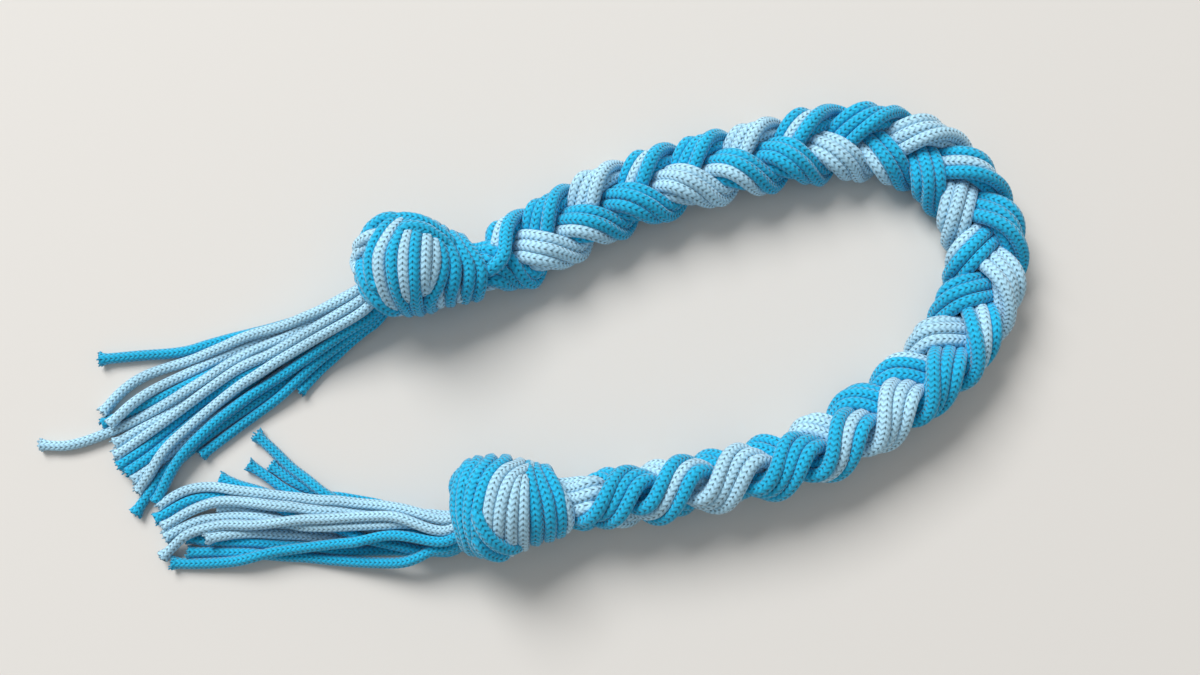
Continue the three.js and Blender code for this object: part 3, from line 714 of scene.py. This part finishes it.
press([tube for several in tubes.values() for tube in several])
print("pressed rings:", sum(len(tube["centres"]) for several in tubes.values() for tube in several))

# %% [markdown]
# ## Cut ends
# A knitted cord that is cut with scissors opens a little and sheds the ends of its yarns. The
# last few millimetres of each tail are flared, the cut face is drawn in, and a crown of short
# yarn ends stands out of the rim. Particles could make the fuzz, but sixteen small tapered
# tubes on each tail are real geometry and stay with the tail when it moves.

# %% Cut ends
FLARE_LENGTH = 4 * MM
FLARE = 0.34
FLARE_SPREAD = (0.5, 1.5)
CUT_DEPTH = 1.2 * MM
END_RING = -4
YARNS = 16
YARN = 0.9 * MM
YARN_TAPER = 0.3
YARN_SIDES = 6
YARN_STEPS = 4
YARN_ROOT = 0.8 * MM
YARN_REACHES = (1.4, 2.3)
ROOT_PLACES = (0.55, 0.9)
AHEAD_SHARES = (0.5, 1)
OUT_SHARES = (0, 0.35)
CURLS = (-0.2, 0.2)


def flare(tube):
    """Opens the last rings of a tail, unevenly, as scissors leave them."""
    left = tube["along"][-1] - tube["along"]
    open_share = np.clip(1 - left / FLARE_LENGTH, 0, 1) ** 2
    uneven = FLARE * draw.uniform(*FLARE_SPREAD, COLUMNS).repeat(SIDES // COLUMNS)
    spoke = tube["rings"] - tube["centres"][:, None]
    tube["rings"] = tube["centres"][:, None] + spoke * (1 + open_share[:, None] * uneven)[..., None]
    tube["rings"][..., 2] = np.maximum(tube["rings"][..., 2], 0)


def yarn_ends(tube):
    """Short tapered yarns that stand out of a tail's rim."""
    rim, centre = tube["rings"][-1], tube["centres"][-1]
    ahead = centre - tube["centres"][END_RING]
    ahead /= np.linalg.norm(ahead)
    made = []
    for place in draw.uniform(0, SIDES, YARNS):
        root = centre + (rim[int(place)] - centre) * draw.uniform(*ROOT_PLACES)
        out = (root - centre) / np.linalg.norm(root - centre)
        reach = draw.uniform(*YARN_REACHES) * MM
        way = ahead * draw.uniform(*AHEAD_SHARES) + out * draw.uniform(*OUT_SHARES)
        curl = draw.uniform(*CURLS, 3)
        share = np.linspace(0, 1, YARN_STEPS)[:, None]
        line = root - ahead * YARN_ROOT + (way * share + curl * share**2) * reach
        line[:, 2] = np.maximum(line[:, 2], YARN / 2)
        across, over = ring_frames(line)
        turn = 2 * math.pi * np.arange(YARN_SIDES) / YARN_SIDES
        radius = YARN / 2 * (1 - YARN_TAPER * share)
        spoke = np.cos(turn)[:, None] * across[:, None] + np.sin(turn)[:, None] * over[:, None]
        made.append({"along": np.linspace(0, reach, YARN_STEPS),
                     "rings": line[:, None] + radius[..., None] * spoke})
    return made


for names in tail_names.values():
    for name in names:
        flare(tubes[name][0])
        tubes[name] += yarn_ends(tubes[name][0])
print("cut ends:", sum(len(names) for names in tail_names.values()), "with", YARNS, "yarns each")

# %% [markdown]
# ## Rings to meshes
# Neighbouring rings are joined by quads, and the two ends are closed by a fan round a middle
# point, which on a cut end lies a little inside. Each mesh carries a map of its own, measured
# in millimetres: across it runs round the cord, and up it runs along the cord. The knitted
# finish reads that map, so the stitches follow every bend.

# %% Meshes
MAP_NAME = "knit"


def skin(rings, along, cut):
    """The points, faces and map of one tube, closed at both ends."""
    count, sides = rings.shape[:2]
    tips = [rings[0].mean(0), rings[-1].mean(0)]
    if cut:
        inwards = rings[END_RING].mean(0) - tips[1]
        tips[1] = tips[1] + inwards / np.linalg.norm(inwards) * CUT_DEPTH
    points = np.vstack([rings.reshape(-1, 3), tips])
    ring, place = np.meshgrid(np.arange(count - 1), np.arange(sides), indexing="ij")
    after = (place + 1) % sides
    quads = np.stack([ring * sides + place, ring * sides + after,
                      (ring + 1) * sides + after, (ring + 1) * sides + place], -1).reshape(-1, 4)
    around = np.stack([place, place + 1, place + 1, place], -1).reshape(-1, 4)
    level = np.stack([ring, ring, ring + 1, ring + 1], -1).reshape(-1, 4)
    corner, following = np.arange(sides), (np.arange(sides) + 1) % sides
    last = (count - 1) * sides
    fans = np.vstack([
        np.column_stack([following, corner, np.full(sides, count * sides)]),
        np.column_stack([last + corner, last + following, np.full(sides, count * sides + 1)]),
    ])
    girth = math.pi * CORD / MM
    quad_map = np.stack([around / sides * girth, along[level] / MM], -1)
    turn = np.concatenate([corner, corner]) / sides * girth
    fan_map = np.stack([np.column_stack([turn, turn, turn]), np.zeros((2 * sides, 3))], -1)
    return points, quads, fans, quad_map, fan_map


def cord_piece(name, parts, cut):
    """One object from the tubes of a piece."""
    points, sizes, corners, maps = [], [], [], []
    base = 0
    for number, tube in enumerate(parts):
        made = skin(tube["rings"], tube["along"], cut and number == 0)
        spots, quads, fans, quad_map, fan_map = made
        for faces, places in ((quads, quad_map), (fans, fan_map)):
            sizes.append(np.full(len(faces), faces.shape[1]))
            corners.append((faces + base).ravel())
            maps.append(places.reshape(-1, 2))
        points.append(spots)
        base += len(spots)
    points, sizes = np.vstack(points), np.concatenate(sizes)
    starts = np.concatenate([[0], np.cumsum(sizes)[:-1]])
    mesh = bpy.data.meshes.new(name)
    mesh.vertices.add(len(points))
    mesh.vertices.foreach_set("co", points.astype(np.float32).ravel())
    mesh.loops.add(int(sizes.sum()))
    mesh.loops.foreach_set("vertex_index", np.concatenate(corners).astype(np.int32))
    mesh.polygons.add(len(sizes))
    mesh.polygons.foreach_set("loop_start", starts.astype(np.int32))
    mesh.uv_layers.new(name=MAP_NAME)
    mesh.uv_layers[MAP_NAME].data.foreach_set("uv", np.vstack(maps).astype(np.float32).ravel())
    mesh.update(calc_edges=True)
    mesh.shade_smooth()
    piece = bpy.data.objects.new(name, mesh)
    bpy.context.scene.collection.objects.link(piece)
    return piece


pieces = {node: cord_piece(f"knit_{node}", parts, node.startswith("tail"))
          for node, parts in tubes.items()}
print("pieces:", len(pieces), "with",
      sum(len(piece.data.polygons) for piece in pieces.values()), "faces")

# %% [markdown]
# ## What moves with what
# The plait and the knots stay with the rope. A tail is held by its knot at one end and is free
# at the other, and here it is left where it was laid.

for node, piece in pieces.items():
    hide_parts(node)
    if not node.startswith("tail"):
        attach(piece, "rope")
for key, names in tail_names.items():
    along, _ = level_frame(KNOT_MOUTHS[key]["heading"])
    for name in names:
        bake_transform(pieces[name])
    print("tassel", key, "of", len(names), "free tails")

# %% [markdown]
# ## Knitted polyester cord
# The cord is a small tube of knitted polyester yarn. Its stitches are rows of V shapes, six
# columns round the cord, a little under two and a half millimetres wide and two high, with a
# hole between each two columns at every stitch. The holes and the grooves between the legs get
# painted shade, and the legs a slight painted highlight. The yarn is matt with a soft bright
# edge, which a sheen gives, and it is a little fuzzy. A painted picture could be wrapped round
# the cord, but a pattern worked out from the map stays sharp at any distance. The colours are
# written as they look on a screen, and one function makes them linear for the shader.

# %% Colours and nodes
CYAN = "1CB0DD"
PALE = "AAD9F0"
FLOOR = "D9D6D1"


def linear(hex_colour):
    """An sRGB hex colour as linear values that a shader takes, by the sRGB standard's curve."""
    parts = [int(hex_colour[at:at + 2], 16) / 255 for at in (0, 2, 4)]
    curve = [part / 12.92 if part <= 0.04045 else ((part + 0.055) / 1.055) ** 2.4 for part in parts]
    return (*curve, 1)


def add(tree, kind, settings=None, **inputs):
    """Adds a node with its settings, and links or sets its inputs by number or name."""
    node = tree.nodes.new(kind)
    for name, value in (settings or {}).items():
        setattr(node, name, value)
    for name, value in inputs.items():
        socket = node.inputs[int(name[1:]) if name[1:].isdigit() else name.replace("_", " ")]
        if isinstance(value, bpy.types.NodeSocket):
            tree.links.new(value, socket)
        else:
            socket.default_value = value
    return node.outputs[0]


print("colours:", CYAN, PALE, FLOOR)

# %% Knitted finish
# Widths and edges of the stitches: in millimetres, then in shares of a column or of a stitch.
COLUMN_WIDTH = math.pi * CORD / MM / COLUMNS
STITCH_MM = STITCH / MM
CHEVRON_SLANT = 1.1
LEG_EDGES = (0.02, 0.36)
GROOVE_EDGES = (0.37, 0.49)
SLOT_EDGES = (0.34, 0.14)
# Fibre fuzz and patches of uneven dye: their sizes, and how dark and bright they make the yarn.
# Real fibres are far finer, so the fuzz is drawn as coarse as it needs to show.
FUZZ_SIZE, PATCH_SIZE = 0.45 * MM, 22 * MM
FUZZ_DETAIL, PATCH_DETAIL = 3.0, 2.0
FUZZ_RANGE, FUZZ_SHADES = (0.3, 0.7), (0.86, 1.1)
PATCH_RANGE, PATCH_SHADES = (0.35, 0.65), (0.93, 1.06)
# Painted shade in the grooves between the stitch legs, and a slight painted highlight on the legs.
LEG_SHADES = (0.75, 1.09)
# Painted shade in the holes between the stitch columns.
HOLE_SHADE = 0.25
# The relief under the light, and the matt, slightly shiny-edged yarn.
FUZZ_HEIGHT = 0.25
BUMP_STRENGTH, BUMP_DEPTH = 0.72, 0.3 * MM
YARN_LOOK = {"Roughness": 0.85, "Specular IOR Level": 0.25, "Sheen Weight": 0.35,
             "Sheen Roughness": 0.45}


def knitted_cord(name, colour):
    """Matt knitted cord: chevron stitches with painted shade and highlight, a soft sheen and some
    fuzz.
    """
    material = bpy.data.materials.new(name)
    material.use_nodes = True
    tree = material.node_tree
    shader = tree.nodes["Principled BSDF"]
    place = add(tree, "ShaderNodeUVMap", {"uv_map": MAP_NAME})
    parts = tree.nodes.new("ShaderNodeSeparateXYZ")
    tree.links.new(place, parts.inputs[0])
    column = add(tree, "ShaderNodeMath", {"operation": "DIVIDE"}, _0=parts.outputs[0],
                 _1=COLUMN_WIDTH)
    from_middle = add(tree, "ShaderNodeMath", {"operation": "PINGPONG"}, _0=column, _1=0.5)
    stitch = add(tree, "ShaderNodeMath", {"operation": "DIVIDE"}, _0=parts.outputs[1], _1=STITCH_MM)
    slanted = add(tree, "ShaderNodeMath", {"operation": "MULTIPLY_ADD"}, _0=from_middle,
                  _1=CHEVRON_SLANT, _2=stitch)
    wave = add(tree, "ShaderNodeMath", {"operation": "PINGPONG"}, _0=slanted, _1=0.5)
    soft = {"interpolation_type": "SMOOTHSTEP"}
    leg = add(tree, "ShaderNodeMapRange", soft, Value=wave,
              From_Min=LEG_EDGES[0], From_Max=LEG_EDGES[1])
    groove = add(tree, "ShaderNodeMapRange", soft, Value=from_middle,
                 From_Min=GROOVE_EDGES[0], From_Max=GROOVE_EDGES[1])
    slot = add(tree, "ShaderNodeMapRange", soft, Value=wave,
               From_Min=SLOT_EDGES[0], From_Max=SLOT_EDGES[1])
    hole = add(tree, "ShaderNodeMath", {"operation": "MULTIPLY"}, _0=groove, _1=slot)
    solid = add(tree, "ShaderNodeTexCoord").node.outputs["Object"]
    fuzz = add(tree, "ShaderNodeTexNoise", {}, Vector=solid, Scale=1 / FUZZ_SIZE,
               Detail=FUZZ_DETAIL)
    patch = add(tree, "ShaderNodeTexNoise", {}, Vector=solid, Scale=1 / PATCH_SIZE,
                Detail=PATCH_DETAIL)
    shade = add(tree, "ShaderNodeMapRange", {}, Value=fuzz,
                From_Min=FUZZ_RANGE[0], From_Max=FUZZ_RANGE[1],
                To_Min=FUZZ_SHADES[0], To_Max=FUZZ_SHADES[1])
    tone = add(tree, "ShaderNodeMapRange", {}, Value=patch,
               From_Min=PATCH_RANGE[0], From_Max=PATCH_RANGE[1],
               To_Min=PATCH_SHADES[0], To_Max=PATCH_SHADES[1])
    # Painted shade in the stitch grooves, and a slight painted highlight on the legs.
    painted_leg_shading = add(tree, "ShaderNodeMapRange", {}, Value=leg,
                 To_Min=LEG_SHADES[0], To_Max=LEG_SHADES[1])
    # Painted shade in the holes.
    painted_hole_shade = add(tree, "ShaderNodeMapRange", {}, Value=hole, To_Min=1.0, To_Max=HOLE_SHADE)
    # Fuzz and dye patches are the yarn's own tone; the stitch factors are painted shade and a
    # slight painted highlight.
    tone_and_painted_shading = shade
    for factor in (tone, painted_leg_shading, painted_hole_shade):
        tone_and_painted_shading = add(tree, "ShaderNodeMath", {"operation": "MULTIPLY"}, _0=tone_and_painted_shading, _1=factor)
    mixed = add(tree, "ShaderNodeVectorMath", {"operation": "SCALE"}, _0=linear(colour)[:3],
                Scale=tone_and_painted_shading)
    tree.links.new(mixed, shader.inputs["Base Color"])
    relief = add(tree, "ShaderNodeMath", {"operation": "SUBTRACT"}, _0=leg, _1=hole)
    height = add(tree, "ShaderNodeMath", {"operation": "MULTIPLY_ADD"}, _0=fuzz, _1=FUZZ_HEIGHT,
                 _2=relief)
    bump = add(tree, "ShaderNodeBump", {}, Strength=BUMP_STRENGTH, Distance=BUMP_DEPTH,
               Height=height)
    tree.links.new(bump, shader.inputs["Normal"])
    for socket, value in YARN_LOOK.items():
        shader.inputs[socket].default_value = value
    return material


finishes = {
    "cyan": knitted_cord("Knitted polyester cord, bright blue", CYAN),
    "pale": knitted_cord("Knitted polyester cord, pale blue", PALE),
}
for node, piece in pieces.items():
    piece.data.materials.append(finishes[node.rsplit("_", 1)[1]])
print("finishes:", [material.name for material in finishes.values()])

# %% [markdown]
# ## Floor and light
# The toy lies on a plain pale floor, a disc whose far edge is level from all sides. The
# photograph's light comes from a window at the upper left and leaves soft shadows on the lower
# right, so one large lamp stands at the upper left, far off so that the floor is lit evenly,
# and an even surround fills the shadows. Both are kept at a level where a colour renders about
# as it is written. Only where the surround itself is seen is it paler, so that the floor meets
# a pale backdrop.

# %% Floor
# Matt paint gives the eye no highlights, only the toy's soft shadow.
FLOOR_RADIUS = 3.0
FLOOR_CORNERS = 128
FLOOR_LOOK = {"Base Color": linear(FLOOR), "Roughness": 0.9}

bpy.ops.object.select_all(action="DESELECT")
bpy.ops.mesh.primitive_circle_add(vertices=FLOOR_CORNERS, radius=FLOOR_RADIUS, fill_type="NGON")
floor = bpy.context.object
floor.name = "floor"
paint = bpy.data.materials.new("Matt painted board")
paint.use_nodes = True
for socket, value in FLOOR_LOOK.items():
    paint.node_tree.nodes["Principled BSDF"].inputs[socket].default_value = value
floor.data.materials.append(paint)
print("floor of", 2 * FLOOR_RADIUS, "m across")

# %% Light
KEY_PLACE = Vector((-2.2, 3.0, 3.8))
KEY_SIDE = 2.8
KEY_POWER = 312
FILL = 0.38
BACKDROP = 0.7

bpy.ops.object.light_add(type="AREA", location=KEY_PLACE)
key_light = bpy.context.object
key_light.rotation_euler = (-KEY_PLACE).to_track_quat("-Z", "Y").to_euler()
key_light.data.size = KEY_SIDE
key_light.data.energy = KEY_POWER
scene = bpy.context.scene
scene.world = scene.world or bpy.data.worlds.new("surround")
scene.world.use_nodes = True
surround = scene.world.node_tree
surround.nodes["Background"].inputs["Color"].default_value = (1, 1, 1, 1)
rays = add(surround, "ShaderNodeLightPath").node.outputs
seen = rays["Is Camera Ray"]
for kind in ("Is Glossy Ray", "Is Transmission Ray"):
    seen = add(surround, "ShaderNodeMath", {"operation": "MAXIMUM"}, _0=seen, _1=rays[kind])
level = add(surround, "ShaderNodeMapRange", {}, Value=seen, To_Min=FILL, To_Max=BACKDROP)
surround.links.new(level, surround.nodes["Background"].inputs["Strength"])
scene.view_settings.view_transform = "Standard"
print("lamp of", KEY_POWER, "W, surround of", FILL, "and backdrop of", BACKDROP)
